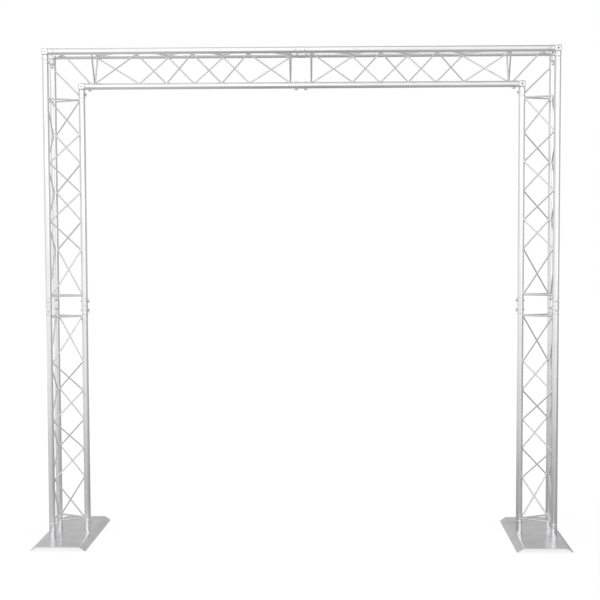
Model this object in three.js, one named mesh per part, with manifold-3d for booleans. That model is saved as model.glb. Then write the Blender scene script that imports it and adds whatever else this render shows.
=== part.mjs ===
// Goal-post lighting truss: a free-standing arch of welded triangular aluminium truss.
// Millimetres, +X across the arch, +Y from front to back, +Z up, origin on the floor under the middle.
// Every section is built along its own X axis from its joint, with Y across its two outer chords and
// Z pointing outwards, and a group turns it into its place.
import * as THREE from "three";
import { mergeVertices } from "three/addons/utils/BufferGeometryUtils.js";
import Module from "manifold-3d";

// Driving dimensions of the arch
const moduleLength = 1500; // corner node to joint, along an outer chord
const lowerLegLength = 1350; // joint to the foot cones' collars
const trussSide = 223.5; // distance between two chord axes
const trussHeight = trussSide * Math.sin(Math.PI / 3);

// Chord tubes and the receivers welded into their ends
const chordRadius = 19;
const chordWall = 2;
const receiverRadius = 20;
const receiverLength = 46;
const coneMouthRadius = 15;
const coneTipRadius = 12;
const coneLength = 42;
const coneTipChamfer = 2;
const fitClearance = 0.3;
const jointGap = 0.2;

// Welded rods between the chords
const lacingRadius = 4.5;
const rungRadius = 5;
const rodNodeInset = 9; // a rod's end lies this far from the chord's axis
const rungToNode = 9; // from a rung to the nearest lacing node
const jointRungInset = 62; // from a joint's plane to its rung
const cornerRungInset = 79; // from the inner corner node to the last rung
const cornerBraceOuterInset = 76; // from the outer corner node to the brace on the outer chord
const cornerBraceInnerInset = 68; // from the inner corner node to the brace on the inner chord
const cornerTieInset = 27; // from the outer corner node to the tie on the front chord
const bayCount = 6;

// Lacing of the three kinds of section: the bay next to the far end, then the even pitch
const beamLacing = { farBay: 255, pitch: 164.5 };
const upperLegLacing = { farBay: 196, pitch: 172 };
const lowerLegLacing = { farBay: 240, pitch: 176 };

// Tapered pins
const pinHeadRadius = 6.6;
const pinTipRadius = 5.5;
const pinInset = 27; // from a receiver's mouth to its pin
const pinHeadProud = 3;
const pinTipProud = 9;
const pinChamfer = 1.2;
const pinLength = pinHeadProud + 2 * receiverRadius + pinTipProud;

// The spring clip through each pin's tip
const clipWireRadius = 1.4;
const clipInset = 4; // from the pin's tip to the clip
const clipNearReach = 8; // how far its straight leg passes the pin's axis on the plain side
const clipReach = 10; // and on the side of the ring
const clipRingRadius = 4.5;

// Corner couplers
const elbowReach = 20; // from the corner node to the block's face
const elbowChamfer = 5;
const elbowEyeRadius = 5;
const elbowEyeDepth = 12;

// Feet
const plateLength = 914;
const plateFlatWidth = 257;
const plateFlangeReach = 34; // how far a bent-down side reaches out
const plateHeight = 25;
const plateThickness = 5;
const plateBendShare = 0.35; // how much of the flange's run the bend takes
const plateBendSegments = 3;
const plateOffset = 97; // from the outer chords' plane to the plate's middle
const collarRadius = 19;
const collarHeight = 21;
const boltRadius = 6;
const boltThreadDepth = 25; // how far the bolt reaches into the foot cone
const boltHeadRadius = 10.5;
const boltHeadHeight = 8;

// Facets
const chordSides = 12;
const rodSides = 5;
const pinSides = 6;
const boltSides = 8;
const clipSides = 3;
const clipRingSides = 6;
const boltHeadSides = 6;
const overrun = 5; // every cut runs this far past its face

const footMouthHeight = plateHeight + collarHeight;
const jointHeight = footMouthHeight + lowerLegLength;
const topHeight = jointHeight + moduleLength;

const wasm = await Module();
wasm.setup();

const xAxis = new THREE.Vector3(1, 0, 0);
const yAxis = new THREE.Vector3(0, 1, 0);
const zAxis = new THREE.Vector3(0, 0, 1);
const downAxis = zAxis.clone().negate();
const quarterTurn = Math.PI / 2;
const halfTurn = Math.PI;

// A closed three.js geometry as a solid
function solidFrom(geometry) {
  const bare = geometry.clone();
  bare.deleteAttribute("normal");
  bare.deleteAttribute("uv");
  const merged = mergeVertices(bare);
  return new wasm.Manifold(
    new wasm.Mesh({
      numProp: 3,
      vertProperties: merged.attributes.position.array,
      triVerts: new Uint32Array(merged.index.array),
    }),
  );
}

// A solid back as a three.js geometry
function geometryFrom(solid) {
  const mesh = solid.getMesh();
  const geometry = new THREE.BufferGeometry();
  geometry.setAttribute("position", new THREE.BufferAttribute(mesh.vertProperties, 3));
  geometry.setIndex(new THREE.BufferAttribute(mesh.triVerts, 1));
  const flat = geometry.toNonIndexed();
  flat.computeVertexNormals();
  return flat;
}

function joined(solids) {
  return solids.reduce((whole, solid) => whole.add(solid));
}

function cutFrom(body, cuts) {
  return cuts.reduce((whole, cut) => whole.subtract(cut), body);
}

// A geometry turned about the X axis, from pairs of radius and distance along it.
// Half a facet's turn puts the flats of a chord, and not its edges, under the rods
function turned(outline, sides) {
  const points = outline.map(([radius, distance]) => new THREE.Vector2(radius, distance));
  return new THREE.LatheGeometry(points, sides, Math.PI / sides).rotateZ(-quarterTurn);
}

// A round or many-sided disc or bar about the X axis, from one distance to another
function disc(radius, start, end, sides) {
  return turned([[0, start], [radius, start], [radius, end], [0, end]], sides);
}

// The three chords in a section's own frame. y and out are their place across it. headTurn about X brings
// the head of a pin round to the truss's outer side, and clipTurn is how far its clip is turned on the pin:
// along the inner chord, and into the truss on an outer one, where ringSide keeps its ring off the corner
const frontChord = { y: -trussSide / 2, out: 0, headTurn: quarterTurn, clipTurn: -quarterTurn, ringSide: 1 };
const innerChord = { y: 0, out: -trussHeight, headTurn: 0, clipTurn: 0, ringSide: 1 };
const backChord = { y: trussSide / 2, out: 0, headTurn: -quarterTurn, clipTurn: quarterTurn, ringSide: -1 };
const chords = [frontChord, innerChord, backChord];

function opposite(chord) {
  return chords[chords.length - 1 - chords.indexOf(chord)];
}

// A spring clip laid flat: its straight leg along X, and the ring that touches it on one side of Y
function clipGeometries(ringSide) {
  const legLength = clipNearReach + clipReach;
  const leg = new THREE.CylinderGeometry(clipWireRadius, clipWireRadius, legLength, clipSides);
  leg.rotateY(quarterTurn);
  leg.rotateZ(-quarterTurn);
  leg.translate(clipReach - legLength / 2, 0, 0);
  const ring = new THREE.TorusGeometry(clipRingRadius, clipWireRadius, clipSides, clipRingSides);
  ring.rotateZ(Math.PI / clipRingSides);
  ring.translate(clipReach, ringSide * clipRingRadius, 0);
  return [leg, ring];
}

// A tapered pin on the Z axis with its head up, through a chord whose axis is X, and its clip near the tip
function pinGeometries(clipTurn, ringSide) {
  const headZ = receiverRadius + pinHeadProud;
  const shank = turned(
    [
      [0, 0],
      [pinHeadRadius - pinChamfer, 0],
      [pinHeadRadius, pinChamfer],
      [pinTipRadius, pinLength - pinChamfer],
      [pinTipRadius - pinChamfer, pinLength],
      [0, pinLength],
    ],
    pinSides,
  );
  shank.rotateY(quarterTurn).translate(0, 0, headZ);
  const wires = clipGeometries(ringSide);
  for (const wire of wires) {
    wire.rotateZ(clipTurn).translate(0, 0, headZ - pinLength + clipInset);
  }
  return [shank, ...wires];
}

// The reamed hole that such a pin passes through
function pinHoleGeometry() {
  const hole = turned(
    [
      [0, 0],
      [pinHeadRadius + fitClearance, 0],
      [pinTipRadius + fitClearance, pinLength],
      [0, pinLength],
    ],
    pinSides,
  );
  return hole.rotateY(quarterTurn).translate(0, 0, receiverRadius + pinHeadProud);
}

// The male cone that fits a receiver, along X from its base, with its pin hole left for the caller to cut
function maleConeGeometry() {
  return turned(
    [
      [0, 0],
      [coneMouthRadius, 0],
      [coneTipRadius, coneLength - coneTipChamfer],
      [coneTipRadius - coneTipChamfer, coneLength],
      [0, coneLength],
    ],
    chordSides,
  );
}

// A rod welded between two chords
function weldedRod(chordA, distanceA, chordB, distanceB, radius) {
  const from = new THREE.Vector3(distanceA, chordA.y, chordA.out);
  const to = new THREE.Vector3(distanceB, chordB.y, chordB.out);
  const way = to.clone().sub(from);
  const rod = new THREE.CylinderGeometry(radius, radius, way.length() - 2 * rodNodeInset, rodSides);
  rod.applyQuaternion(new THREE.Quaternion().setFromUnitVectors(yAxis, way.normalize()));
  const middle = from.add(to).divideScalar(2);
  return solidFrom(rod.translate(middle.x, middle.y, middle.z));
}

// Where the lacing meets the chords, from the far end to the joint
function lacingNodes(farNode, lacing) {
  const nodes = [farNode];
  for (let bay = 1; bay < bayCount; bay += 1) {
    nodes.push(farNode - lacing.farBay - (bay - 1) * lacing.pitch);
  }
  nodes.push(jointRungInset + rungToNode);
  return nodes;
}

// Three zigzag rods, one on each face. The front chord takes the even nodes and the back chord the odd ones
function lacingSolids(nodes) {
  const faces = [
    [frontChord, innerChord],
    [innerChord, backChord],
    [frontChord, backChord],
  ];
  const rods = [];
  for (const [first, second] of faces) {
    for (let bay = 0; bay < bayCount; bay += 1) {
      const [from, to] = bay % 2 === 0 ? [first, second] : [second, first];
      rods.push(weldedRod(from, nodes[bay], to, nodes[bay + 1], lacingRadius));
    }
  }
  return rods;
}

// A triangle of straight rods across the section
function rungSolids(distance) {
  return chords.map((chord, face) => {
    const next = chords[(face + 1) % chords.length];
    return weldedRod(chord, distance, next, distance, rungRadius);
  });
}

// The open end bay at a corner: a brace on the arch's rear face and a tie between the outer chords
function cornerBraceSolids(rearChord) {
  const outerDistance = moduleLength - cornerBraceOuterInset;
  const innerDistance = moduleLength - trussHeight - cornerBraceInnerInset;
  const tieDistance = moduleLength - cornerTieInset;
  return [
    weldedRod(rearChord, outerDistance, innerChord, innerDistance, rungRadius),
    weldedRod(opposite(rearChord), tieDistance, rearChord, outerDistance, lacingRadius),
  ];
}

// One chord's tube with a receiver on either end, and what has to be cut out of it
function chordSolids(chord, nearDistance, farDistance) {
  const length = farDistance - nearDistance;
  const boreRadius = chordRadius - chordWall;
  const slope = (coneMouthRadius - coneTipRadius) / coneLength;
  const mouthRadius = coneMouthRadius + fitClearance + slope * overrun;
  const throatRadius = coneMouthRadius + fitClearance - slope * receiverLength;
  const outside = [
    [0, 0],
    [receiverRadius, 0],
    [receiverRadius, receiverLength],
    [chordRadius, receiverLength],
    [chordRadius, length - receiverLength],
    [receiverRadius, length - receiverLength],
    [receiverRadius, length],
    [0, length],
  ];
  const hollow = [
    [0, -overrun],
    [mouthRadius, -overrun],
    [throatRadius, receiverLength],
    [boreRadius, receiverLength],
    [boreRadius, length - receiverLength],
    [throatRadius, length - receiverLength],
    [mouthRadius, length + overrun],
    [0, length + overrun],
  ];
  const holes = [pinInset, length - pinInset].map((distance) => {
    return pinHoleGeometry().rotateX(chord.headTurn).translate(distance, 0, 0);
  });
  const placed = (geometry) => solidFrom(geometry.translate(nearDistance, chord.y, chord.out));
  return {
    outside: placed(turned(outside, chordSides)),
    cuts: [placed(turned(hollow, chordSides)), ...holes.map(placed)],
  };
}

// A section's tubes and rods welded together, with the bores and pin holes cut
function weldedSection(tubes, rods) {
  const body = joined([...tubes.map((tube) => tube.outside), ...rods]);
  return cutFrom(body, tubes.flatMap((tube) => tube.cuts));
}

// A welded section that ends at a corner, with the inner chord shorter by the truss's height
function mitredSectionSolid(lacing, rearChord) {
  const farEnd = moduleLength - elbowReach - jointGap;
  const farRung = moduleLength - trussHeight - cornerRungInset;
  const tubes = chords.map((chord) => chordSolids(chord, jointGap / 2, farEnd + chord.out));
  return weldedSection(tubes, [
    ...lacingSolids(lacingNodes(farRung - rungToNode, lacing)),
    ...rungSolids(jointRungInset),
    ...rungSolids(farRung),
    ...cornerBraceSolids(rearChord),
  ]);
}

// A welded section with all three chords cut to one length
function straightSectionSolid(length, lacing) {
  const farRung = length - jointRungInset;
  const tubes = chords.map((chord) => chordSolids(chord, jointGap / 2, length - jointGap));
  return weldedSection(tubes, [
    ...lacingSolids(lacingNodes(farRung - rungToNode, lacing)),
    ...rungSolids(jointRungInset),
    ...rungSolids(farRung),
  ]);
}

// A pin with its clip, as one solid
function pinSolid(clipTurn, ringSide) {
  return joined(pinGeometries(clipTurn, ringSide).map((geometry) => solidFrom(geometry)));
}

// The double cone between two sections
function couplerSolid() {
  const cones = [maleConeGeometry(), maleConeGeometry().rotateZ(halfTurn)];
  const holes = [-1, 1].map((way) => pinHoleGeometry().translate(way * (jointGap / 2 + pinInset), 0, 0));
  return cutFrom(
    joined(cones.map((cone) => solidFrom(cone))),
    holes.map((hole) => solidFrom(hole)),
  );
}

// The turn that lays a section's X axis along a direction and its Z axis outwards, and its Y axis then
function sectionTurn(direction, outwards) {
  const depth = outwards.clone().cross(direction);
  return { depth, turn: new THREE.Matrix4().makeBasis(direction, depth, outwards) };
}

// A right-angled coupler with its two pins in place. One arm reaches along the beam and one down the leg
function cornerCouplerSolid(chord) {
  const half = elbowReach;
  const flat = elbowReach - elbowChamfer;
  const outline = new THREE.Shape();
  outline.moveTo(-flat, -half);
  outline.lineTo(flat, -half);
  outline.lineTo(half, -flat);
  outline.lineTo(half, flat);
  outline.lineTo(flat, half);
  outline.lineTo(-flat, half);
  outline.lineTo(-half, flat);
  outline.lineTo(-half, -flat);
  outline.closePath();
  const block = new THREE.ExtrudeGeometry(outline, { depth: half + half, bevelEnabled: false });
  const pieces = [block.rotateX(quarterTurn).translate(0, half, 0)];
  const arms = [
    { direction: xAxis.clone().negate(), outwards: zAxis },
    { direction: downAxis, outwards: xAxis },
  ];
  for (const { direction, outwards } of arms) {
    const { depth, turn } = sectionTurn(direction, outwards);
    const armChord = depth.y > 0 ? chord : opposite(chord);
    pieces.push(maleConeGeometry().translate(elbowReach, 0, 0).applyMatrix4(turn));
    for (const geometry of pinGeometries(armChord.clipTurn, armChord.ringSide)) {
      geometry.rotateX(armChord.headTurn).translate(elbowReach + jointGap + pinInset, 0, 0);
      pieces.push(geometry.applyMatrix4(turn));
    }
  }
  const eyeLength = elbowEyeDepth + overrun;
  const eyes = [-1, 1].map((side) => {
    const eye = new THREE.CylinderGeometry(elbowEyeRadius, elbowEyeRadius, eyeLength, pinSides);
    return solidFrom(eye.translate(0, side * (elbowReach - elbowEyeDepth + eyeLength / 2), 0));
  });
  return cutFrom(joined(pieces.map((piece) => solidFrom(piece))), eyes);
}

// The single cone on its collar, along X from the base plate's top
function footConeSolid() {
  const threadRadius = boltRadius + fitClearance;
  const threadEnd = boltThreadDepth + fitClearance;
  const collar = disc(collarRadius, 0, collarHeight, chordSides);
  const cone = maleConeGeometry().translate(collarHeight, 0, 0);
  const thread = disc(threadRadius, -overrun, threadEnd, boltSides);
  const pinHole = pinHoleGeometry().translate(collarHeight + jointGap + pinInset, 0, 0);
  return cutFrom(joined([solidFrom(collar), solidFrom(cone)]), [solidFrom(thread), solidFrom(pinHole)]);
}

// The hexagon bolt that holds a foot cone from under the plate, along X from the plate's top
function footBoltSolid() {
  const headTop = -plateThickness;
  const head = disc(boltHeadRadius, headTop - boltHeadHeight, headTop, boltHeadSides);
  const shank = disc(boltRadius, headTop, boltThreadDepth, boltSides);
  return joined([solidFrom(head), solidFrom(shank)]);
}

// A base plate folded down along both long sides, with a bolt hole under each chord
function basePlateSolid() {
  const halfFlat = plateFlatWidth / 2;
  const outerX = halfFlat + plateFlangeReach;
  const angle = Math.atan2(plateHeight, plateFlangeReach);
  const edgeWidth = plateThickness / Math.sin(angle);
  const bendRun = plateFlangeReach * plateBendShare;
  const bendDrop = bendRun * Math.tan(angle);
  const underFlat = plateHeight - plateThickness;
  const innerKnee = halfFlat - plateThickness * Math.tan(angle / 2);
  const profile = new THREE.Shape();
  profile.moveTo(-outerX, 0);
  profile.lineTo(-outerX + edgeWidth, 0);
  profile.lineTo(-innerKnee, underFlat);
  profile.lineTo(innerKnee, underFlat);
  profile.lineTo(outerX - edgeWidth, 0);
  profile.lineTo(outerX, 0);
  profile.lineTo(halfFlat + bendRun, plateHeight - bendDrop);
  profile.quadraticCurveTo(halfFlat, plateHeight, halfFlat - bendRun, plateHeight);
  profile.lineTo(-halfFlat + bendRun, plateHeight);
  profile.quadraticCurveTo(-halfFlat, plateHeight, -halfFlat - bendRun, plateHeight - bendDrop);
  profile.closePath();
  const sheet = new THREE.ExtrudeGeometry(profile, {
    depth: plateLength,
    bevelEnabled: false,
    curveSegments: plateBendSegments,
  });
  sheet.rotateX(quarterTurn).translate(0, plateLength / 2, 0);
  const holes = chords.map((chord) => {
    const hole = disc(boltRadius + fitClearance, 0, plateHeight + overrun, boltSides);
    return solidFrom(hole.rotateY(-quarterTurn).translate(plateOffset + chord.out, chord.y, 0));
  });
  return cutFrom(solidFrom(sheet), holes);
}

function tubeMaterial() {
  return new THREE.MeshStandardMaterial({ color: 0xd9dadc, roughness: 0.28, metalness: 1 });
}

function couplerMaterial() {
  return new THREE.MeshStandardMaterial({ color: 0xe2e3e5, roughness: 0.22, metalness: 1 });
}

function pinMaterial() {
  return new THREE.MeshStandardMaterial({ color: 0xb4b6ba, roughness: 0.35, metalness: 1 });
}

function plateMaterial() {
  return new THREE.MeshStandardMaterial({ color: 0xb2b3b5, roughness: 0.5, metalness: 0.8 });
}

// A named mesh in a group. What places it is left to the caller
function addPiece(group, name, solid, material) {
  const piece = new THREE.Mesh(geometryFrom(solid), material);
  piece.name = name;
  group.add(piece);
  return piece;
}

// Seats a piece on a chord's axis, turned so that its pin's head is on the truss's outer side
function seatOnChord(piece, chord, distance) {
  piece.position.set(distance, chord.y, chord.out);
  piece.rotation.x = chord.headTurn;
}

// The frame of a section within its half of the arch: a group with X along the section and Z outwards.
// names gives the chords' names there, which change places where the turn puts the front at the back
function sectionFrame(half, x, z, direction, outwards) {
  const { depth, turn } = sectionTurn(direction, outwards);
  const group = new THREE.Group();
  group.position.set(x, 0, z);
  group.setRotationFromMatrix(turn);
  half.group.add(group);
  return { group, names: depth.y > 0 ? half.names : [...half.names].reverse() };
}

function addMitredSection(frame, name, lacing) {
  const rearChord = chords[frame.names.indexOf("back")];
  addPiece(frame.group, name, mitredSectionSolid(lacing, rearChord), tubeMaterial());
}

// The couplers and pins of a joint, with the names of the sections ahead of it and behind it
function addJoint(frame, jointName, aheadName, behindName) {
  chords.forEach((chord, index) => {
    const chordName = frame.names[index];
    const couplerName = `${jointName}_coupler_${chordName}`;
    seatOnChord(addPiece(frame.group, couplerName, couplerSolid(), couplerMaterial()), chord, 0);
    for (const [endName, way] of [[aheadName, 1], [behindName, -1]]) {
      const clipTurn = chord === innerChord && way < 0 ? halfTurn : chord.clipTurn;
      const pinName = `${jointName}_pin_${endName}_${chordName}`;
      const pin = addPiece(frame.group, pinName, pinSolid(clipTurn, chord.ringSide), pinMaterial());
      seatOnChord(pin, chord, way * (jointGap / 2 + pinInset));
    }
  });
}

// Half of the beam: a mitred section from the middle joint to the corner
function addBeamHalf(half) {
  const frame = sectionFrame(half, 0, topHeight, xAxis, zAxis);
  addMitredSection(frame, `beam_section_${half.name}`, beamLacing);
  if (half.name === "right") addJoint(frame, "beam", "right", "left");
}

// A leg: a mitred section above a straight one, with a joint between them
function addLeg(half) {
  const legName = `leg_section_${half.name}`;
  const upper = sectionFrame(half, moduleLength, jointHeight, zAxis, xAxis);
  const lower = sectionFrame(half, moduleLength, jointHeight, downAxis, xAxis);
  addMitredSection(upper, `${legName}_upper`, upperLegLacing);
  const lowerSolid = straightSectionSolid(lowerLegLength, lowerLegLacing);
  addPiece(lower.group, `${legName}_lower`, lowerSolid, tubeMaterial());
  addJoint(upper, `leg_${half.name}`, "upper", "lower");
}

// A corner: three right-angled couplers that turn the chords from the leg into the beam
function addCorner(half) {
  chords.forEach((chord, index) => {
    const name = `corner_coupler_${half.name}_${half.names[index]}`;
    const coupler = addPiece(half.group, name, cornerCouplerSolid(chord), couplerMaterial());
    coupler.position.set(moduleLength + chord.out, chord.y, topHeight + chord.out);
  });
}

// A foot: a folded plate with three cones bolted to it, and the pins through them
function addFoot(half) {
  const plate = addPiece(half.group, `base_plate_${half.name}`, basePlateSolid(), plateMaterial());
  plate.position.x = moduleLength - plateOffset;
  const frame = sectionFrame(half, moduleLength, plateHeight, zAxis, xAxis);
  chords.forEach((chord, index) => {
    const suffix = `${half.name}_${frame.names[index]}`;
    const cone = addPiece(frame.group, `foot_cone_${suffix}`, footConeSolid(), couplerMaterial());
    const bolt = addPiece(frame.group, `foot_bolt_${suffix}`, footBoltSolid(), pinMaterial());
    const pinShape = pinSolid(chord.clipTurn, chord.ringSide);
    const pin = addPiece(frame.group, `foot_pin_${suffix}`, pinShape, pinMaterial());
    seatOnChord(cone, chord, 0);
    seatOnChord(bolt, chord, 0);
    seatOnChord(pin, chord, collarHeight + jointGap + pinInset);
  });
}

// The arch is two like halves, and the left one is turned half way round
const arch = new THREE.Group();
for (const name of ["right", "left"]) {
  const half = { name, names: ["front", "inner", "back"], group: new THREE.Group() };
  if (name === "left") {
    half.group.rotation.z = halfTurn;
    half.names.reverse();
  }
  arch.add(half.group);
  addBeamHalf(half);
  addLeg(half);
  addCorner(half);
  addFoot(half);
}

export default arch;
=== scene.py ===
import math

import bmesh
import bpy
from mathutils import Matrix, Vector


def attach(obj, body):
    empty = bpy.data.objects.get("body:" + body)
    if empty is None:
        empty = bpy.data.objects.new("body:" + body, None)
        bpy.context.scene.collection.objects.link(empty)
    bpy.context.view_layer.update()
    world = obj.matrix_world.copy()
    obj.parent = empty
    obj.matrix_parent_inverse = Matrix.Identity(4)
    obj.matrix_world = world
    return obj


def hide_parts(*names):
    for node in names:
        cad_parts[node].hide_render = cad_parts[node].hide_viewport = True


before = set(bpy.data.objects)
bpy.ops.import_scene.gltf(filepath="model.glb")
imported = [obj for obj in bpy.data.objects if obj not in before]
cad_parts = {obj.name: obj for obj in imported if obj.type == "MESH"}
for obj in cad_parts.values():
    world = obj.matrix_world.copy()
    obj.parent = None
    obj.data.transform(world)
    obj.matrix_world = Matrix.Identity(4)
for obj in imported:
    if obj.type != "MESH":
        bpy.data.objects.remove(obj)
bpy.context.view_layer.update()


# The camera stands a little right of the arch's middle, at about a tall person's eye height and well back.
# It is a short telephoto that looks slightly down, and it leans by a fraction of a degree.
camera_lens = bpy.data.cameras.new("camera")
camera = bpy.data.objects.new("camera", camera_lens)
bpy.context.scene.collection.objects.link(camera)
bpy.context.scene.camera = camera
camera_lens.sensor_width = 36
camera_lens.lens = 87.05
camera_lens.shift_x = -0.0012
camera_lens.shift_y = 0.0538
camera_lens.clip_end = 200
camera_place = (0.2449, -8.6841, 1.8377)
camera_yaw = math.radians(-1.6575)
camera_pitch = math.radians(-3.9752)
camera_roll = math.radians(-0.2022)
look = Vector((
    math.sin(camera_yaw) * math.cos(camera_pitch),
    math.cos(camera_yaw) * math.cos(camera_pitch),
    math.sin(camera_pitch),
))
level_right = Vector((math.cos(camera_yaw), -math.sin(camera_yaw), 0))
level_up = level_right.cross(look)
camera_right = level_right * math.cos(camera_roll) + level_up * math.sin(camera_roll)
camera_up = level_up * math.cos(camera_roll) - level_right * math.sin(camera_roll)
camera_turn = Matrix((camera_right, camera_up, -look)).transposed()
camera.matrix_world = Matrix.Translation(camera_place) @ camera_turn.to_4x4()


# Base plates: a long sheet of 5 mm aluminium under each leg, lying from front to back.
# Both long sides are folded down to the floor, so the sheet stands 25 mm high on two flat-cut edges.
# Mill finish, a little dull, with scuffs from the floor and from ballast weights. The two ends are sawn.
plate_length = 0.914
plate_flat_width = 0.257
plate_flange_reach = 0.034
plate_height = 0.025
plate_thickness = 0.005
plate_middle = 1.403
plate_fold_round = 0.011
plate_fold_steps = 5
fold_nearness = 0.004  # the fold's upper and lower lines both lie this near to the flat's side
sawn_facing = 0.2  # faces that look this much along the plate belong to a sawn end
facing = 0.9  # a face whose normal reaches this far along a direction faces that way
hair = 0.00001  # the most by which places that are meant to be the same may differ


def deselect_all():
    if bpy.context.mode != "OBJECT":
        bpy.ops.object.mode_set(mode="OBJECT")
    bpy.ops.object.select_all(action="DESELECT")


def start_shaping():
    """Applies the new primitive's place and opens it for editing."""
    bpy.ops.object.transform_apply(location=True, rotation=True, scale=True)
    bpy.ops.object.mode_set(mode="EDIT")


def give_name(piece, name):
    piece.name = name
    piece.data.name = name


def finish_shaping(name, smooth_angle=0.6):
    """Closes the edit, smooths the soft edges and names the piece."""
    bpy.ops.mesh.select_all(action="SELECT")
    bpy.ops.mesh.normals_make_consistent(inside=False)
    bpy.ops.object.mode_set(mode="OBJECT")
    bpy.ops.object.shade_smooth_by_angle(angle=smooth_angle)
    piece = bpy.context.view_layer.objects.active
    give_name(piece, name)
    return piece


def pick_faces(rule):
    """Selects the faces whose normal suits the rule, and nothing else."""
    mesh = bpy.context.edit_object.data
    bpy.context.tool_settings.mesh_select_mode = (False, False, True)
    bpy.ops.mesh.select_all(action="DESELECT")
    shell = bmesh.from_edit_mesh(mesh)
    for face in shell.faces:
        face.select_set(rule(face.normal))
    bmesh.update_edit_mesh(mesh)


def pick_edges(rule):
    """Selects the edges whose two ends suit the rule, and nothing else."""
    mesh = bpy.context.edit_object.data
    bpy.context.tool_settings.mesh_select_mode = (False, True, False)
    bpy.ops.mesh.select_all(action="DESELECT")
    shell = bmesh.from_edit_mesh(mesh)
    for edge in shell.edges:
        edge.select_set(rule(edge.verts[0].co, edge.verts[1].co))
    bmesh.update_edit_mesh(mesh)


def new_finish(name, colour, roughness, metallic=1.0):
    """A node material with its own principled shader, and the object's coordinates to lay patterns on."""
    finish = bpy.data.materials.new(name)
    finish.use_nodes = True
    finish.diffuse_color = (*colour, 1)
    nodes = finish.node_tree.nodes
    shader = nodes["Principled BSDF"]
    shader.inputs["Base Color"].default_value = (*colour, 1)
    shader.inputs["Roughness"].default_value = roughness
    shader.inputs["Metallic"].default_value = metallic
    place = nodes.new("ShaderNodeTexCoord")
    return finish, shader, place


def add_noise(finish, place, scale, detail, stretch=(1, 1, 1)):
    """A noise pattern on the piece's own coordinates. A small stretch value draws it out along that axis."""
    nodes, links = finish.node_tree.nodes, finish.node_tree.links
    mapping = nodes.new("ShaderNodeMapping")
    mapping.inputs["Scale"].default_value = stretch
    noise = nodes.new("ShaderNodeTexNoise")
    noise.inputs["Scale"].default_value = scale
    noise.inputs["Detail"].default_value = detail
    links.new(place.outputs["Object"], mapping.inputs["Vector"])
    links.new(mapping.outputs["Vector"], noise.inputs["Vector"])
    return noise.outputs["Fac"]


def grey(level):
    return (level, level, level)


def vary(finish, shader, socket, pattern, low, high):
    """Lets a pattern carry one of the shader's inputs from a low colour to a high one."""
    nodes, links = finish.node_tree.nodes, finish.node_tree.links
    ramp = nodes.new("ShaderNodeValToRGB")
    ramp.color_ramp.elements[0].position = 0.3
    ramp.color_ramp.elements[0].color = (*low, 1)
    ramp.color_ramp.elements[1].position = 0.7
    ramp.color_ramp.elements[1].color = (*high, 1)
    links.new(pattern, ramp.inputs["Fac"])
    links.new(ramp.outputs["Color"], shader.inputs[socket])


def add_bump(finish, shader, height, strength, distance):
    nodes, links = finish.node_tree.nodes, finish.node_tree.links
    bump = nodes.new("ShaderNodeBump")
    bump.inputs["Strength"].default_value = strength
    bump.inputs["Distance"].default_value = distance
    links.new(height, bump.inputs["Height"])
    links.new(bump.outputs["Normal"], shader.inputs["Normal"])


mill_sheet, sheet_shader, sheet_place = new_finish("mill_sheet", (0.77, 0.77, 0.78), roughness=0.24)
sheet_grain = add_noise(mill_sheet, sheet_place, scale=60, detail=6, stretch=(6, 0.4, 6))
sheet_scuffs = add_noise(mill_sheet, sheet_place, scale=9, detail=8)
vary(mill_sheet, sheet_shader, "Base Color", sheet_scuffs, (0.71, 0.71, 0.72), (0.83, 0.83, 0.84))
vary(mill_sheet, sheet_shader, "Roughness", sheet_grain, grey(0.14), grey(0.30))
add_bump(mill_sheet, sheet_shader, sheet_grain, strength=0.06, distance=0.0004)

sawn_edge, sawn_shader, sawn_place = new_finish("sawn_edge", grey(0.90), roughness=0.6)
saw_marks = add_noise(sawn_edge, sawn_place, scale=30, detail=4, stretch=(1, 1, 12))
vary(sawn_edge, sawn_shader, "Base Color", saw_marks, grey(0.84), grey(0.94))
vary(sawn_edge, sawn_shader, "Roughness", saw_marks, grey(0.5), grey(0.75))
add_bump(sawn_edge, sawn_shader, saw_marks, strength=0.2, distance=0.0004)


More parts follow.
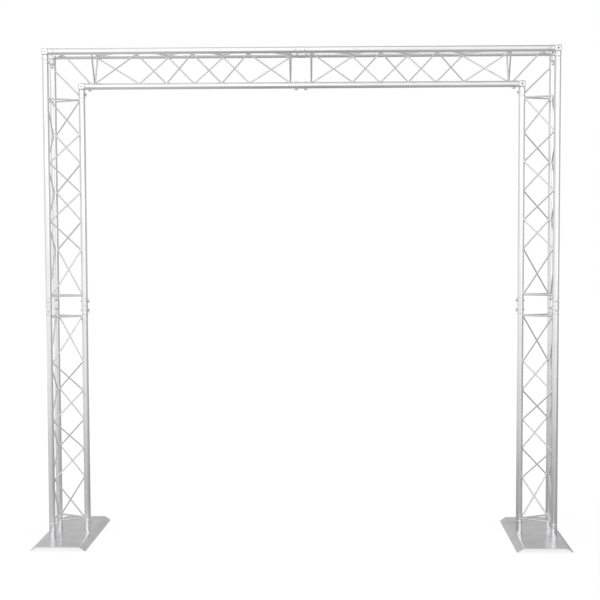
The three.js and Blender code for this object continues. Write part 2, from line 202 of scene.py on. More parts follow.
def fold_sheet(name, side):
    """One folded plate: a flat bar whose two side faces are drawn out and down, then rounded at the folds."""
    half = plate_flat_width / 2
    fold = math.atan2(plate_height, plate_flange_reach)
    knee = plate_thickness * math.tan(fold / 2)
    cut = plate_thickness / math.sin(fold)
    flat_z = plate_height - plate_thickness / 2
    middle_x = side * plate_middle

    def at_fold(point):
        return abs(abs(point.x - middle_x) - half) < fold_nearness

    deselect_all()
    bpy.ops.mesh.primitive_cube_add(
        size=1,
        location=(middle_x, 0, flat_z),
        scale=(plate_flat_width, plate_length, plate_thickness),
    )
    start_shaping()
    for way in (-1, 1):
        # The side face's lower edge moves in, so that the fold halves the angle, and the face is drawn out.
        edge_x = middle_x + way * half
        pick_edges(lambda a, b: all(abs(p.x - edge_x) < hair and p.z < flat_z for p in (a, b)))
        bpy.ops.transform.translate(value=(-way * knee, 0, 0))
        pick_faces(lambda normal: normal.x * way > facing)
        bpy.ops.mesh.extrude_region_move(
            TRANSFORM_OT_translate={"value": (way * plate_flange_reach, 0, -plate_height)}
        )
        # Its lower edge then lies below the floor, and slides back and up until the flange is cut flat.
        pick_edges(lambda a, b: max(a.z, b.z) < -hair)
        bpy.ops.transform.translate(value=(-way * (cut - knee), 0, plate_thickness))
    # The seams between flat and flange in the two end faces would break up the rounding, so they go first.
    pick_edges(
        lambda a, b: abs(a.y - b.y) < hair
        and abs(abs(a.z - b.z) - plate_thickness) < 10 * hair
        and at_fold(a)
        and at_fold(b)
    )
    bpy.ops.mesh.dissolve_edges(use_verts=False)
    pick_edges(lambda a, b: abs(a.x - b.x) < hair and abs(a.z - b.z) < hair and at_fold(a))
    bpy.ops.mesh.bevel(offset=plate_fold_round, segments=plate_fold_steps, profile=0.5, affect="EDGES")
    return finish_shaping(name, smooth_angle=0.25)


for side, side_name in ((-1, "left"), (1, "right")):
    plate = fold_sheet("base_plate_" + side_name, side)
    plate.data.materials.append(mill_sheet)
    plate.data.materials.append(sawn_edge)
    for face in plate.data.polygons:
        if abs(face.normal.y) > sawn_facing:
            face.material_index = 1
    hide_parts("base_plate_" + side_name)
    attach(plate, "root")


# Foot cones: three turned aluminium collars on each plate, each with a cone that plugs into a leg's chord.
# Every one is held by a hexagon bolt from under the plate. Bright machined surface with fine turning marks.
# The bolts are zinc-plated steel, a little darker.
foot_collar_height = 0.021
foot_collar_radius = 0.019
foot_collar_round = 0.001
cone_mouth_radius = 0.015
cone_tip_radius = 0.012
cone_tip_round = 0.002
cone_length = 0.042
cone_sides = 36
truss_side = 0.2235
truss_height = truss_side * math.sin(math.pi / 3)
module_length = 1.5
chord_places = {
    "front": (-truss_side / 2, 0),
    "inner": (0, -truss_height),
    "back": (truss_side / 2, 0),
}

turned_metal, turned_shader, turned_place = new_finish("turned_metal", (0.84, 0.84, 0.85), roughness=0.2)
turning_marks = add_noise(turned_metal, turned_place, scale=140, detail=3)
turned_smudges = add_noise(turned_metal, turned_place, scale=25, detail=6)
vary(turned_metal, turned_shader, "Roughness", turning_marks, grey(0.15), grey(0.28))
vary(turned_metal, turned_shader, "Base Color", turned_smudges, (0.79, 0.79, 0.80), (0.88, 0.88, 0.89))
add_bump(turned_metal, turned_shader, turning_marks, strength=0.04, distance=0.0003)

plated_steel, plated_shader, plated_place = new_finish("plated_steel", (0.62, 0.63, 0.64), roughness=0.3)
plated_spots = add_noise(plated_steel, plated_place, scale=220, detail=4)
vary(plated_steel, plated_shader, "Base Color", plated_spots, (0.56, 0.57, 0.58), (0.68, 0.69, 0.70))
vary(plated_steel, plated_shader, "Roughness", plated_spots, grey(0.22), grey(0.4))


def draw_out(origin, axis, profile):
    """Extrudes the selected end face step by step. Each pair of the profile is a distance from the origin
    along the axis, and a radius, and the first pair is where the face lies."""
    reached, radius = profile[0]
    for distance, next_radius in profile[1:]:
        bpy.ops.mesh.extrude_region_move(
            TRANSFORM_OT_translate={"value": axis * (distance - reached)}
        )
        ratio = next_radius / radius
        across = Vector([1 if abs(part) > 0.5 else ratio for part in axis])
        bpy.ops.transform.resize(value=across, center_override=origin + axis * distance)
        reached, radius = distance, next_radius


def turn_piece(name, origin, axis, start, profile, sides, smooth_angle=0.6):
    """A piece turned about its axis: a disc from the start to the profile's first pair, then drawn out."""
    first_distance, first_radius = profile[0]
    deselect_all()
    bpy.ops.mesh.primitive_cylinder_add(
        vertices=sides,
        radius=first_radius,
        depth=first_distance - start,
        location=origin + axis * ((start + first_distance) / 2),
        rotation=(0, math.pi / 2 if axis.x else 0, 0),
    )
    start_shaping()
    pick_faces(lambda normal: normal.dot(axis) > facing)
    draw_out(origin, axis, profile)
    return finish_shaping(name, smooth_angle)


def coat(piece, metal):
    piece.data.materials.clear()
    piece.data.materials.append(metal)


foot_profile = [
    (foot_collar_round, foot_collar_radius - foot_collar_round),
    (2 * foot_collar_round, foot_collar_radius),
    (foot_collar_height - foot_collar_round, foot_collar_radius),
    (foot_collar_height, foot_collar_radius - foot_collar_round),
    (foot_collar_height, cone_mouth_radius),
    (foot_collar_height + cone_length - cone_tip_round, cone_tip_radius),
    (foot_collar_height + cone_length, cone_tip_radius - cone_tip_round),
]
up_way = Vector((0, 0, 1))
for side, side_name in ((-1, "left"), (1, "right")):
    for chord, (chord_y, chord_out) in chord_places.items():
        foot_name = f"{side_name}_{chord}"
        foot = Vector((side * (module_length + chord_out), chord_y, plate_height))
        cone = turn_piece("foot_cone_" + foot_name, foot, up_way, 0, foot_profile, cone_sides)
        coat(cone, turned_metal)
        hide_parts("foot_cone_" + foot_name)
        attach(cone, "root")

for node_name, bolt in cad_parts.items():
    if node_name.startswith("foot_bolt"):
        coat(bolt, plated_steel)


# Truss sections: three bright drawn aluminium tubes, laced on each face by a zigzag rod between two rungs.
# A receiver is welded into each tube's end. The rods, rungs and weld beads are a little greyer.
# The four that end at a corner have a shorter inner tube and an open end bay with a brace on the rear face.
chord_radius = 0.019
chord_sides = 40
receiver_radius = 0.02
receiver_length = 0.046
receiver_round = 0.0012
receiver_ring_length = 0.0238  # the receiver is at its full radius as far as this
receiver_neck_radius = 0.0188
fit_clearance = 0.0003
joint_gap = 0.0002
elbow_reach = 0.02
lacing_radius = 0.0045
rung_radius = 0.005
rung_to_node = 0.009
joint_rung_inset = 0.062
corner_rung_inset = 0.079
corner_brace_outer_inset = 0.076
corner_brace_inner_inset = 0.068
corner_tie_inset = 0.027
lower_leg_length = 1.35
joint_height = plate_height + foot_collar_height + lower_leg_length
top_height = joint_height + module_length
rod_embed = 0.001
rod_end_overlap = 0.003  # a rod's end runs this much further, into its chord
rod_end_inset = 0.4  # as a share of the rod's radius
rod_bend_radius = 0.011
rod_bend_steps = 4
rod_flat_half = 0.006
rod_stub = 0.002
rod_sides = 12
rung_sides = 14
bead_sides = 16
bead_tube_sides = 6
bead_thickness = 0.0018
bead_off_rod = 0.0005
bead_off_chord = 0.0004
long_bead_off_chord = 0.0006
long_bead_stretch = 2.1
bead_ripple = (1.03, 1.08, 1.22)

# Each chord end from its mouth: the ring weld, the neck, the receiver's ring and the taper for the cone.
ring_weld_root = 0.052
ring_weld_middle = 0.0485
mouth_profile = [
    (ring_weld_root, chord_radius),
    (ring_weld_middle + 0.0030, chord_radius),
    (ring_weld_middle + 0.0020, chord_radius + 0.0007),
    (ring_weld_middle, chord_radius + 0.00095),
    (ring_weld_middle - 0.0020, chord_radius + 0.0007),
    (ring_weld_middle - 0.0030, receiver_neck_radius),
    (receiver_ring_length + receiver_round, receiver_neck_radius),
    (receiver_ring_length + 0.0007, receiver_radius - 0.0004),
    (receiver_ring_length, receiver_radius),
    (receiver_round, receiver_radius),
    (0, receiver_radius - receiver_round),
    (0, cone_mouth_radius + fit_clearance + 0.0010),
    (0.0010, cone_mouth_radius + fit_clearance),
    (cone_length, cone_tip_radius + fit_clearance),
    (receiver_length, cone_tip_radius - cone_tip_round),
]


def make_chord(length):
    """A chord along +X from its joint, with a receiver at both ends and a bead round each receiver's root."""
    start = joint_gap / 2
    deselect_all()
    bpy.ops.mesh.primitive_cylinder_add(
        vertices=chord_sides,
        radius=chord_radius,
        depth=length - 2 * (start + ring_weld_root),
        location=(length / 2, 0, 0),
        rotation=(0, math.pi / 2, 0),
    )
    start_shaping()
    for way, mouth in ((-1, start), (1, length - start)):
        pick_faces(lambda normal: normal.x * way > facing)
        draw_out(Vector((mouth, 0, 0)), Vector((-way, 0, 0)), mouth_profile)
    return finish_shaping("chord", smooth_angle=0.5)


def compass(heading):
    """The direction of a heading in the XY plane."""
    return Vector((math.cos(heading), math.sin(heading), 0))


def turn_to_face(heading, onward):
    """The signed turn from a heading to a direction, by the shorter way round."""
    return (math.atan2(onward.y, onward.x) - heading + math.pi) % (2 * math.pi) - math.pi


def start_rod(path, radius, sides, stub):
    """A stub of rod in the XY plane at the path's start, with its end face selected.
    Gives the middle of that face and the rod's heading."""
    first = path[0]
    onward = path[1] - first
    heading = math.atan2(onward.y, onward.x)
    nose = compass(heading)
    deselect_all()
    bpy.ops.mesh.primitive_cylinder_add(
        vertices=sides,
        radius=radius,
        depth=stub,
        location=first,
        rotation=(0, math.pi / 2, heading),
    )
    start_shaping()
    pick_faces(lambda normal: normal.dot(nose) > facing)
    return first + nose * (stub / 2), heading


def bend_rod(path, radius):
    """A rod in the XY plane, pushed along its line: every step moves the end face on and turns it."""
    place, heading = start_rod(path, radius, rod_sides, rod_stub)

    def push(step, turn):
        nonlocal place, heading
        bpy.ops.mesh.extrude_region_move(TRANSFORM_OT_translate={"value": step})
        place = place + step
        if turn:
            bpy.ops.transform.rotate(value=-turn, orient_axis="Z", center_override=place)
            heading += turn

    for corner, next_corner in zip(path[1:], path[2:]):
        turn = turn_to_face(heading, next_corner - corner)
        tangent = rod_bend_radius * math.tan(abs(turn) / 2)
        push(corner - compass(heading) * tangent - place, 0)
        small_turn = turn / rod_bend_steps
        small_step = 2 * rod_bend_radius * math.sin(abs(small_turn) / 2)
        for _ in range(rod_bend_steps):
            push(compass(heading + small_turn / 2) * small_step, small_turn)
    push(path[-1] - place, 0)
    return finish_shaping("rod", smooth_angle=0.7)


def make_bead(stretch):
    """A weld bead: a ring round a rod's foot, drawn out along the chord, with the ripples of the weld."""
    deselect_all()
    bpy.ops.mesh.primitive_torus_add(
        major_segments=bead_sides,
        minor_segments=bead_tube_sides,
        major_radius=lacing_radius + bead_off_rod,
        minor_radius=bead_thickness,
    )
    start_shaping()
    bpy.ops.mesh.select_all(action="SELECT")
    bpy.ops.transform.resize(value=(stretch, 1, 1), center_override=(0, 0, 0))

    def sector(point):
        return round(math.atan2(point.y, point.x) / (2 * math.pi / bead_sides))

    pick_edges(lambda a, b: sector(a) == sector(b) and sector(a) % 2 == 0)
    bpy.ops.transform.resize(value=bead_ripple, center_override=(0, 0, 0))
    return finish_shaping("bead", smooth_angle=1.2)


def place_copy(source, place):
    """A copy with its own mesh, moved to its place in its mesh."""
    copy = source.copy()
    copy.data = source.data.copy()
    copy.data.transform(place)
    bpy.context.scene.collection.objects.link(copy)
    return copy


def place_on(origin, x_way, z_way):
    """The matrix that lays a piece's own X and Z along two directions, at a point."""
    x_axis = x_way.normalized()
    y_axis = z_way.cross(x_axis).normalized()
    z_axis = x_axis.cross(y_axis)
    turn = Matrix((x_axis, y_axis, z_axis)).transposed().to_4x4()
    return Matrix.Translation(origin) @ turn


def weld_together(name, parts):
    deselect_all()
    for part in parts:
        part.select_set(True)
    bpy.context.view_layer.objects.active = parts[0]
    bpy.ops.object.join()
    piece = bpy.context.view_layer.objects.active
    give_name(piece, name)
    return piece


def chord_line(chord, distance):
    """A point on a chord's axis, in a section that lies along +X."""
    chord_y, chord_out = chord_places[chord]
    return Vector((distance, chord_y, chord_out))


def straight_rod(chord_a, distance_a, chord_b, distance_b, radius):
    """A straight rod between two chords, with a weld bead round either end."""
    start, end = chord_line(chord_a, distance_a), chord_line(chord_b, distance_b)
    way = (end - start).normalized()
    reach = (end - start).length - 2 * chord_radius
    deselect_all()
    bpy.ops.mesh.primitive_cylinder_add(
        vertices=rung_sides,
        radius=radius,
        depth=reach + 2 * rod_end_overlap,
    )
    start_shaping()
    pick_faces(lambda normal: abs(normal.z) > facing)
    bpy.ops.mesh.inset(thickness=radius * rod_end_inset)
    rod = finish_shaping("rod")
    across = way.orthogonal().normalized()
    laid = place_copy(rod, place_on((start + end) / 2, across, way))
    bpy.data.objects.remove(rod)
    foot = way * (chord_radius + bead_off_chord)
    beads = [place_copy(round_bead, place_on(point, across, way)) for point in (start + foot, end - foot)]
    return [laid, *beads]


def rung_triangle(distance):
    names = list(chord_places)
    parts = []
    for index, chord in enumerate(names):
        parts += straight_rod(chord, distance, names[(index + 1) % 3], distance, rung_radius)
    return parts


# Where the zigzags bend. Each kind of section has a bay of its own next to the far rung, then an even pitch.
# The last bend lies next to the joint's rung.
corner_rung = module_length - truss_height - corner_rung_inset
far_rungs = {"beam": corner_rung, "upper": corner_rung, "lower": lower_leg_length - joint_rung_inset}
lacing_bays = {"beam": (0.255, 0.1645), "upper": (0.196, 0.172), "lower": (0.240, 0.176)}
even_nodes = 5


def lacing_points(kind):
    far_bay, pitch = lacing_bays[kind]
    far_node = far_rungs[kind] - rung_to_node
    nodes = [far_node - far_bay - step * pitch for step in range(even_nodes)]
    return [far_node, *nodes, joint_rung_inset + rung_to_node]


def make_zigzag(nodes):
    """One face's rod, in its own plane: X along the chords, Y from the first chord's axis to the second's."""
    near_line = chord_radius + lacing_radius - rod_embed
    far_line = truss_side - near_line
    path = [Vector((nodes[0], near_line, 0))]
    for index, node in enumerate(nodes[1:-1], start=1):
        line = far_line if index % 2 else near_line
        path += [Vector((node + rod_flat_half, line, 0)), Vector((node - rod_flat_half, line, 0))]
    path.append(Vector((nodes[-1], near_line, 0)))
    heading_in = (path[0] - path[1]).normalized()
    heading_out = (path[-1] - path[-2]).normalized()
    path[0] = path[0] + heading_in * rod_end_overlap
    path[-1] = path[-1] + heading_out * rod_end_overlap
    return bend_rod(path, lacing_radius)


round_bead = make_bead(1)
long_bead = make_bead(long_bead_stretch)
outer_chord = make_chord(module_length - elbow_reach - joint_gap / 2)
inner_chord = make_chord(module_length - elbow_reach - joint_gap / 2 - truss_height)
lower_chord = make_chord(lower_leg_length)
zigzags = {}
for kind in lacing_bays:
    bends = lacing_points(kind)
    zigzags[kind] = (bends, make_zigzag(bends))


def lace_face(nodes, zigzag, first, second):
    """The zigzag laid into the face between two chords, with a long bead at each bend."""
    across = chord_line(second, 0) - chord_line(first, 0)
    along_x = Vector((1, 0, 0))
    face_normal = along_x.cross(across.normalized())
    face = place_on(chord_line(first, 0), along_x, face_normal)
    parts = [place_copy(zigzag, face)]
    foot_line = chord_radius + long_bead_off_chord
    for index, node in enumerate(nodes):
        at_first = index % 2 == 0 or index == len(nodes) - 1
        line = foot_line if at_first else truss_side - foot_line
        point = face @ Vector((node, line, 0))
        parts.append(place_copy(long_bead, place_on(point, along_x, across.normalized())))
    return parts


def build_section(kind, brace_side, tube_finish):
    """All of one section, with its joint at the origin, its length along +X and its outer face upwards."""
    nodes, zigzag = zigzags[kind]
    tubes, parts = [], []
    for chord in chord_places:
        if kind == "lower":
            source = lower_chord
        else:
            source = inner_chord if chord == "inner" else outer_chord
        tubes.append(place_copy(source, Matrix.Translation(chord_line(chord, 0))))
    for first, second in (("front", "inner"), ("inner", "back"), ("front", "back")):
        parts += lace_face(nodes, zigzag, first, second)
    parts += rung_triangle(joint_rung_inset) + rung_triangle(far_rungs[kind])
    if kind != "lower":
        rear, fore = ("back", "front") if brace_side > 0 else ("front", "back")
        outer_at = module_length - corner_brace_outer_inset
        inner_at = module_length - truss_height - corner_brace_inner_inset
        tie_at = module_length - corner_tie_inset
        parts += straight_rod(rear, outer_at, "inner", inner_at, rung_radius)
        parts += straight_rod(fore, tie_at, rear, outer_at, lacing_radius)
    for tube in tubes:
        coat(tube, tube_finish)
    for part in parts:
        coat(part, round_bar)
    return weld_together("section", tubes + parts)


def drawn_tube_finish(name, lines_along):
    """Bright drawn aluminium. The drawing lines run along the given axis."""
    finish, shader, place = new_finish(name, (0.88, 0.88, 0.89), roughness=0.22)
    stretch = [220.0, 220.0, 220.0]
    stretch[lines_along] = 1.2
    lines = add_noise(finish, place, scale=1, detail=3, stretch=stretch)
    cloud = add_noise(finish, place, scale=5, detail=7)
    vary(finish, shader, "Roughness", lines, grey(0.14), grey(0.30))
    vary(finish, shader, "Base Color", cloud, (0.84, 0.84, 0.85), (0.91, 0.91, 0.92))
    add_bump(finish, shader, lines, strength=0.05, distance=0.0002)
    return finish


tube_across = drawn_tube_finish("drawn_tube_across", 0)
tube_upright = drawn_tube_finish("drawn_tube_upright", 2)

round_bar, bar_shader, bar_place = new_finish("round_bar", (0.82, 0.82, 0.83), roughness=0.3)
bar_marks = add_noise(round_bar, bar_place, scale=90, detail=5)
vary(round_bar, bar_shader, "Base Color", bar_marks, (0.76, 0.76, 0.77), (0.88, 0.88, 0.89))
vary(round_bar, bar_shader, "Roughness", bar_marks, grey(0.22), grey(0.38))
add_bump(round_bar, bar_shader, bar_marks, strength=0.05, distance=0.0003)

for side, side_name in ((-1, "left"), (1, "right")):
    outwards = Vector((side, 0, 0))
    leg_joint = Vector((side * module_length, 0, joint_height))
    runs = (
        ("beam", f"beam_section_{side_name}", place_on(Vector((0, 0, top_height)), outwards, up_way)),
        ("upper", f"leg_section_{side_name}_upper", place_on(leg_joint, up_way, outwards)),
        ("lower", f"leg_section_{side_name}_lower", place_on(leg_joint, -up_way, outwards)),
    )
    for kind, node_name, place in runs:
        # Every brace lies at the arch's rear, so its chord follows from how the section is turned.
        brace_side = side if kind == "beam" else -side
        section = build_section(kind, brace_side, tube_across if kind == "beam" else tube_upright)
        section.data.transform(place)
        give_name(section, node_name)
        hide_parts(node_name)
        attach(section, "root")


# Straight couplers: solid double cones, one in each chord at every joint, hidden once the joint is closed.
# They are turned from aluminium and each is crossed by two tapered pins.
for node_name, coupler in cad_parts.items():
    if "_coupler_" in node_name and not node_name.startswith("corner"):
        coat(coupler, turned_metal)


# Tapered pins: zinc-plated steel, driven through receiver and cone, so that the joint draws tight.
# A spring clip of bent wire goes through each pin's tip and keeps it from working out.
pin_head_radius = 0.0066
pin_tip_radius = 0.0055
pin_inset = 0.027
pin_head_proud = 0.003
pin_tip_proud = 0.009
pin_chamfer = 0.0012
pin_length = pin_head_proud + 2 * receiver_radius + pin_tip_proud
pin_sides = 24
clip_wire_radius = 0.0014
clip_wire_sides = 8
clip_wire_stub = 0.0004
clip_inset = 0.004
clip_near_reach = 0.008
clip_reach = 0.010
clip_ring_radius = 0.0045
clip_ring_steps = 10
clip_ring_sweep = 1.75 * math.pi
clip_leg = ((0.004, 0.0016), (-0.003, 0.0022), (-0.010, 0.0050))  # along the clip, and off the pin's side

# The pin from its head to its tip. It is a little rounded at both ends.
pin_profile = [
    (0.0002, pin_head_radius - pin_chamfer),
    (pin_chamfer * 0.4, pin_head_radius - pin_chamfer * 0.3),
    (pin_chamfer, pin_head_radius),
    (pin_length - pin_chamfer, pin_tip_radius),
    (pin_length - pin_chamfer * 0.3, pin_tip_radius - pin_chamfer * 0.4),
    (pin_length, pin_tip_radius - pin_chamfer),
]


def bend_wire(path, radius):
    """A thin wire in the XY plane, its end face turned at each corner to halve the angle."""
    place, heading = start_rod(path, radius, clip_wire_sides, clip_wire_stub)
    face_heading = heading
    for corner, next_corner in zip(path[1:], path[2:]):
        bpy.ops.mesh.extrude_region_move(TRANSFORM_OT_translate={"value": corner - place})
        place = corner
        turn = turn_to_face(heading, next_corner - corner)
        half_way = heading + turn / 2
        bpy.ops.transform.rotate(value=-(half_way - face_heading), orient_axis="Z", center_override=place)
        face_heading = half_way
        heading = heading + turn
    bpy.ops.mesh.extrude_region_move(TRANSFORM_OT_translate={"value": path[-1] - place})
    return finish_shaping("wire", smooth_angle=1.0)


def make_pin(ring_side):
    """The pin along -Z from its head at the origin. Its clip lies flat, with the straight leg along +X
    and the ring and the bent leg on one side."""
    shank = turn_piece("shank", Vector((0, 0, 0)), -up_way, 0, pin_profile, pin_sides, smooth_angle=0.5)
    path = [Vector((-clip_near_reach, 0, 0)), Vector((clip_reach, 0, 0))]
    for step in range(1, clip_ring_steps + 1):
        angle = -math.pi / 2 + step * clip_ring_sweep / clip_ring_steps
        ring_x = clip_reach + clip_ring_radius * math.cos(angle)
        ring_y = clip_ring_radius + clip_ring_radius * math.sin(angle)
        path.append(Vector((ring_x, ring_y, 0)))
    path += [Vector((along, pin_tip_radius + off, 0)) for along, off in clip_leg]
    path = [Vector((corner.x, ring_side * corner.y, 0)) for corner in path]
    wire = bend_wire(path, clip_wire_radius)
    clip = place_copy(wire, Matrix.Translation((0, 0, clip_inset - pin_length)))
    bpy.data.objects.remove(wire)
    return weld_together("pin", [shank, clip])


pin_patterns = {ring_side: make_pin(ring_side) for ring_side in (-1, 1)}


def drive_pin(name, node, chord, headwards, clipwards, ring_way):
    """A pin through a chord at the node. On an outer chord its clip's ring lies on the side of ring_way."""
    ring_side = 1 if chord == "inner" or headwards.cross(clipwards).dot(ring_way) > 0 else -1
    place = place_on(node + headwards * (receiver_radius + pin_head_proud), clipwards, headwards)
    pin = place_copy(pin_patterns[ring_side], place)
    give_name(pin, name)
    coat(pin, plated_steel)
    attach(pin, "root")
    return pin


def head_way(chord, outwards):
    """Every pin's head lies on the truss's outer side."""
    chord_y = chord_places[chord][0]
    return outwards if chord == "inner" else Vector((0, math.copysign(1, chord_y), 0))


def clip_way(chord, outwards, way):
    """A clip reaches along the inner chord, and into the truss on an outer one."""
    return way if chord == "inner" else -outwards


def chord_node(chord, start, outwards):
    """A point on a chord's axis, in a section that starts at a point of the arch and faces outwards."""
    chord_y, chord_out = chord_places[chord]
    return start + Vector((0, chord_y, 0)) + outwards * chord_out


for side, side_name in ((-1, "left"), (1, "right")):
    outwards = Vector((side, 0, 0))
    leg_joint = Vector((side * module_length, 0, joint_height))
    foot_top = Vector((side * module_length, 0, plate_height + foot_collar_height))
    for chord in chord_places:
        node = chord_node(chord, leg_joint, outwards)
        headwards = head_way(chord, outwards)
        for end, way in (("upper", up_way), ("lower", -up_way)):
            pin_name = f"leg_{side_name}_pin_{end}_{chord}"
            pin_node = node + way * (joint_gap / 2 + pin_inset)
            pin = drive_pin(pin_name, pin_node, chord, headwards, clip_way(chord, outwards, way), up_way)
            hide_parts(pin_name)
        foot_node = chord_node(chord, foot_top, outwards) + up_way * (joint_gap + pin_inset)
        foot_clip = clip_way(chord, outwards, up_way)
        pin = drive_pin(f"foot_pin_{side_name}_{chord}", foot_node, chord, headwards, foot_clip, up_way)
        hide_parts(f"foot_pin_{side_name}_{chord}")
        beam_node = chord_node(chord, Vector((0, 0, top_height)), up_way)
        pin_name = f"beam_pin_{side_name}_{chord}"
        beam_place = beam_node + outwards * (joint_gap / 2 + pin_inset)
        beam_clip = clip_way(chord, up_way, outwards)
        pin = drive_pin(pin_name, beam_place, chord, head_way(chord, up_way), beam_clip, Vector((1, 0, 0)))
        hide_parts(pin_name)


# Corner couplers: an aluminium block at each turn of a chord, with a cone on two of its faces.
# The block's edges are rounded, and a blind hole shows in the middle of its front and back faces.
# The hole's drilled wall is duller; its darker grey is painted shade. Each cone is held by a pin of its own.
elbow_round = 0.008
elbow_round_steps = 4
elbow_eye_radius = 0.005
elbow_eye_depth = 0.012
elbow_eye_sides = 24
plug_disc = 0.002

# Painted shade: the hole's wall is a darker grey than the turned block, so that the hole reads darker.
drilled_shaded_metal, drilled_shader, drilled_place = new_finish(
    "drilled_shaded_metal", (0.70, 0.70, 0.71), roughness=0.5, metallic=0.7
)
drill_marks = add_noise(drilled_shaded_metal, drilled_place, scale=400, detail=3)
vary(drilled_shaded_metal, drilled_shader, "Base Color", drill_marks, (0.64, 0.64, 0.65), (0.76, 0.76, 0.77))


def drill_eye(block, way):
    """Cuts the blind hole into the block's front or back face."""
    deselect_all()
    bpy.ops.mesh.primitive_cylinder_add(
        vertices=elbow_eye_sides,
        radius=elbow_eye_radius,
        depth=2 * elbow_eye_depth,
        location=(0, way * elbow_reach, 0),
        rotation=(math.pi / 2, 0, 0),
    )
    drill = bpy.context.view_layer.objects.active
    deselect_all()
    bpy.context.view_layer.objects.active = block
    eye = block.modifiers.new("eye", "BOOLEAN")
    eye.operation = "DIFFERENCE"
    eye.object = drill
    bpy.ops.object.modifier_apply(modifier="eye")
    bpy.data.objects.remove(drill)


def make_block():
    deselect_all()
    bpy.ops.mesh.primitive_cube_add(size=2 * elbow_reach)
    start_shaping()
    pick_edges(lambda a, b: True)
    bpy.ops.mesh.bevel(offset=elbow_round, segments=elbow_round_steps, profile=0.5, affect="EDGES")
    block = finish_shaping("block", smooth_angle=0.5)
    for way in (-1, 1):
        drill_eye(block, way)
    coat(block, turned_metal)
    block.data.materials.append(drilled_shaded_metal)
    # The faces inside the hole take the darker finish, which paints shade into the hole.
    for face in block.data.polygons:
        middle = face.center
        below_face = abs(middle.y) < elbow_reach - hair
        in_eye = below_face and math.hypot(middle.x, middle.z) < elbow_eye_radius
        face.material_index = 1 if in_eye else 0
    return block


block_pattern = make_block()

# The cone on a block's face, along +X from the block's middle.
plug_profile = [
    (elbow_reach, cone_mouth_radius),
    (elbow_reach + cone_length - cone_tip_round, cone_tip_radius),
    (elbow_reach + cone_length, cone_tip_radius - cone_tip_round),
]
plug_pattern = turn_piece(
    "plug", Vector((0, 0, 0)), Vector((1, 0, 0)), elbow_reach - plug_disc, plug_profile, cone_sides
)
coat(plug_pattern, turned_metal)

for side, side_name in ((-1, "left"), (1, "right")):
    outwards = Vector((side, 0, 0))
    for chord, (chord_y, chord_out) in chord_places.items():
        corner_name = f"corner_coupler_{side_name}_{chord}"
        node = Vector((side * (module_length + chord_out), chord_y, top_height + chord_out))
        parts = [place_copy(block_pattern, Matrix.Translation(node))]
        for way in (-outwards, -up_way):
            parts.append(place_copy(plug_pattern, place_on(node, way, Vector((0, 1, 0)))))
        block = weld_together(corner_name, parts)
        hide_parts(corner_name)
        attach(block, "root")
        inset = elbow_reach + joint_gap + pin_inset
        for arm_name, way, arm_outwards in (("beam", -outwards, up_way), ("leg", -up_way, outwards)):
            drive_pin(
                f"corner_pin_{side_name}_{chord}_{arm_name}",
                node + way * inset,
                chord,
                head_way(chord, arm_outwards),
                clip_way(chord, arm_outwards, way),
                way,
            )

for pattern in (
    round_bead, long_bead, outer_chord, inner_chord, lower_chord, block_pattern, plug_pattern,
    *pin_patterns.values(), *(zigzag for _, zigzag in zigzags.values()),
):
    bpy.data.objects.remove(pattern)


# The room: a pale floor that fades into a white surround, with no edge between the two.
# Reflections show the floor darker near the arch than far out, and the sky lighter in front than behind.
# Soft lamps stand left and right in front of the arch, and one hangs above it.
floor_radius = 30
floor_rim = 20
floor_sides = 96
floor_near = 2.0  # from here outwards the seen floor's shading fades
floor_far = 4.5  # and from here outwards it has none

deselect_all()
bpy.ops.mesh.primitive_circle_add(vertices=floor_sides, radius=floor_radius, fill_type="NGON")
bpy.ops.object.mode_set(mode="EDIT")
bpy.ops.mesh.inset(thickness=floor_rim)
bpy.ops.object.mode_set(mode="OBJECT")
floor = bpy.context.view_layer.objects.active
floor.name = "floor"


def add_step(tree, kind, inputs, output, operation=None):
    """A node that works on values: those that come from other nodes are linked, and numbers are kept."""
    node = tree.nodes.new(kind)
    if operation:
        node.operation = operation
    for socket, value in inputs.items():
        if isinstance(value, bpy.types.NodeSocket):
            tree.links.new(value, node.inputs[socket])
        else:
            node.inputs[socket].default_value = value
    return node.outputs[output]


def add_range(tree, value, start, end, low, high):
    """Gives low up to the value's start, high from its end on, and an even slope between the two."""
    inputs = {"Value": value, "From Min": start, "From Max": end, "To Min": low, "To Max": high}
    return add_step(tree, "ShaderNodeMapRange", inputs, "Result")


floor_paint = bpy.data.materials.new("floor_paint")
floor_paint.use_nodes = True
floor_tree = floor_paint.node_tree
floor_shader = floor_tree.nodes["Principled BSDF"]
floor_shader.inputs["Base Color"].default_value = (0.39, 0.39, 0.39, 1)
floor_shader.inputs["Roughness"].default_value = 0.9
floor_rays = floor_tree.nodes.new("ShaderNodeLightPath")
floor_place = floor_tree.nodes.new("ShaderNodeTexCoord").outputs["Object"]
floor_distance = add_step(floor_tree, "ShaderNodeVectorMath", {0: floor_place}, "Value", "LENGTH")
floor_way = add_step(floor_tree, "ShaderNodeVectorMath", {0: floor_place}, "Vector", "NORMALIZE")
floor_way_x = add_step(floor_tree, "ShaderNodeSeparateXYZ", {"Vector": floor_way}, "X")
floor_x = add_step(floor_tree, "ShaderNodeSeparateXYZ", {"Vector": floor_place}, "X")
floor_aside = add_step(floor_tree, "ShaderNodeMath", {0: floor_x}, "Value", "ABSOLUTE")

# The floor that the camera sees glows more and more with the distance, until no shading is left.
floor_fade = add_range(floor_tree, floor_distance, floor_near, floor_far, low=0.6, high=1.0)
seen_inputs = {0: floor_rays.outputs["Is Camera Ray"], 1: floor_fade}
floor_seen = add_step(floor_tree, "ShaderNodeMath", seen_inputs, "Value", "MULTIPLY")

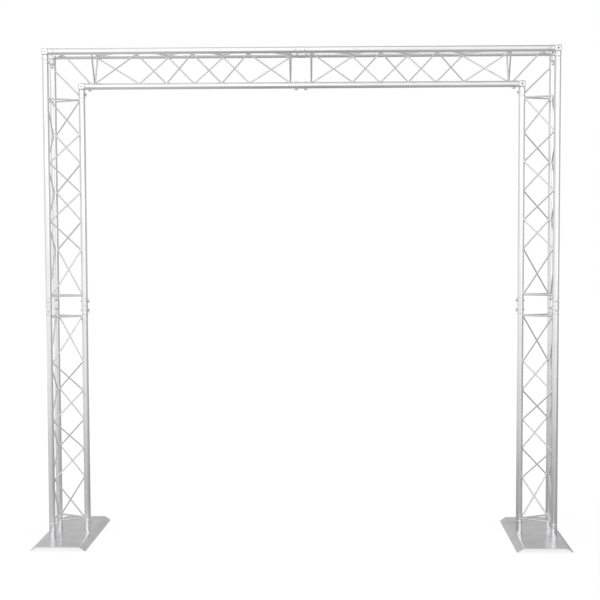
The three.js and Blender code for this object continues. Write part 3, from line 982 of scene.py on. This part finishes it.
# In reflections the floor doesn't glow in the middle, a little beside the legs, and almost fully far out.
# Towards the right it stays dark.
floor_beside = add_range(floor_tree, floor_aside, start=0.3, end=1.4, low=0.0, high=0.2)
floor_reach = add_range(floor_tree, floor_distance, start=2.5, end=11.0, low=floor_beside, high=0.95)
floor_side = add_range(floor_tree, floor_way_x, start=0.5, end=0.95, low=floor_reach, high=0.0)
share_inputs = {0: floor_rays.outputs["Is Glossy Ray"], 1: floor_side, 2: floor_seen}
floor_share = add_step(floor_tree, "ShaderNodeMath", share_inputs, "Value", "MULTIPLY_ADD")

floor_strength = add_range(floor_tree, floor_distance, floor_near, floor_far, low=1.43, high=1.03)
floor_glow = add_step(floor_tree, "ShaderNodeEmission", {"Strength": floor_strength}, "Emission")
mix_inputs = {"Fac": floor_share, 1: floor_shader.outputs["BSDF"], 2: floor_glow}
floor_mix = add_step(floor_tree, "ShaderNodeMixShader", mix_inputs, "Shader")
floor_tree.links.new(floor_mix, floor_tree.nodes["Material Output"].inputs["Surface"])
floor.data.materials.append(floor_paint)

# The camera sees a white sky. The metal mirrors one that is darker above, behind and on the right.
surround = bpy.data.worlds.new("surround")
bpy.context.scene.world = surround
surround.use_nodes = True
sky_tree = surround.node_tree
sky_slope_way = (-0.13, -0.10, -0.22)
sky_rays = sky_tree.nodes.new("ShaderNodeLightPath")
sky_way = sky_tree.nodes.new("ShaderNodeTexCoord").outputs["Generated"]
sky_way_y = add_step(sky_tree, "ShaderNodeSeparateXYZ", {"Vector": sky_way}, "Y")
sky_slope = add_step(sky_tree, "ShaderNodeVectorMath", {0: sky_way, 1: sky_slope_way}, "Value", "DOT_PRODUCT")
sky_far = add_step(sky_tree, "ShaderNodeMath", {0: sky_slope, 1: 0.70}, "Value", "ADD")
sky_front = add_range(sky_tree, sky_way_y, start=-0.2, end=-0.7, low=sky_far, high=1.0)
is_mirrored = sky_rays.outputs["Is Glossy Ray"]
is_seen = sky_rays.outputs["Is Camera Ray"]
sky_mirrored = add_range(sky_tree, is_mirrored, start=0.0, end=1.0, low=0.8, high=sky_front)
sky_seen = add_range(sky_tree, is_seen, start=0.0, end=1.0, low=sky_mirrored, high=1.0)
sky_background = sky_tree.nodes["Background"]
sky_background.inputs["Color"].default_value = (1, 1, 1, 1)
sky_tree.links.new(sky_seen, sky_background.inputs["Strength"])


def hang_lamp(name, place, target, size, power):
    """A soft rectangular lamp that looks at a point on or near the arch."""
    lamp = bpy.data.lights.new(name, "AREA")
    lamp.shape = "RECTANGLE"
    lamp.size, lamp.size_y = size
    lamp.energy = power
    holder = bpy.data.objects.new(name, lamp)
    bpy.context.scene.collection.objects.link(holder)
    holder.location = place
    holder.rotation_mode = "QUATERNION"
    holder.rotation_quaternion = (Vector(target) - Vector(place)).to_track_quat("-Z", "Y")


hang_lamp("lamp_left", place=(-3.5, -9.5, 5.0), target=(0, 0, 1.6), size=(7.0, 5.0), power=98)
hang_lamp("lamp_right", place=(6.0, -7.5, 3.0), target=(0, 0, 1.4), size=(3.0, 4.0), power=34)
hang_lamp("lamp_top", place=(-1.0, -1.0, 7.5), target=(0, 0, 0), size=(6.0, 3.5), power=30)

bpy.context.scene.view_settings.view_transform = "Standard"
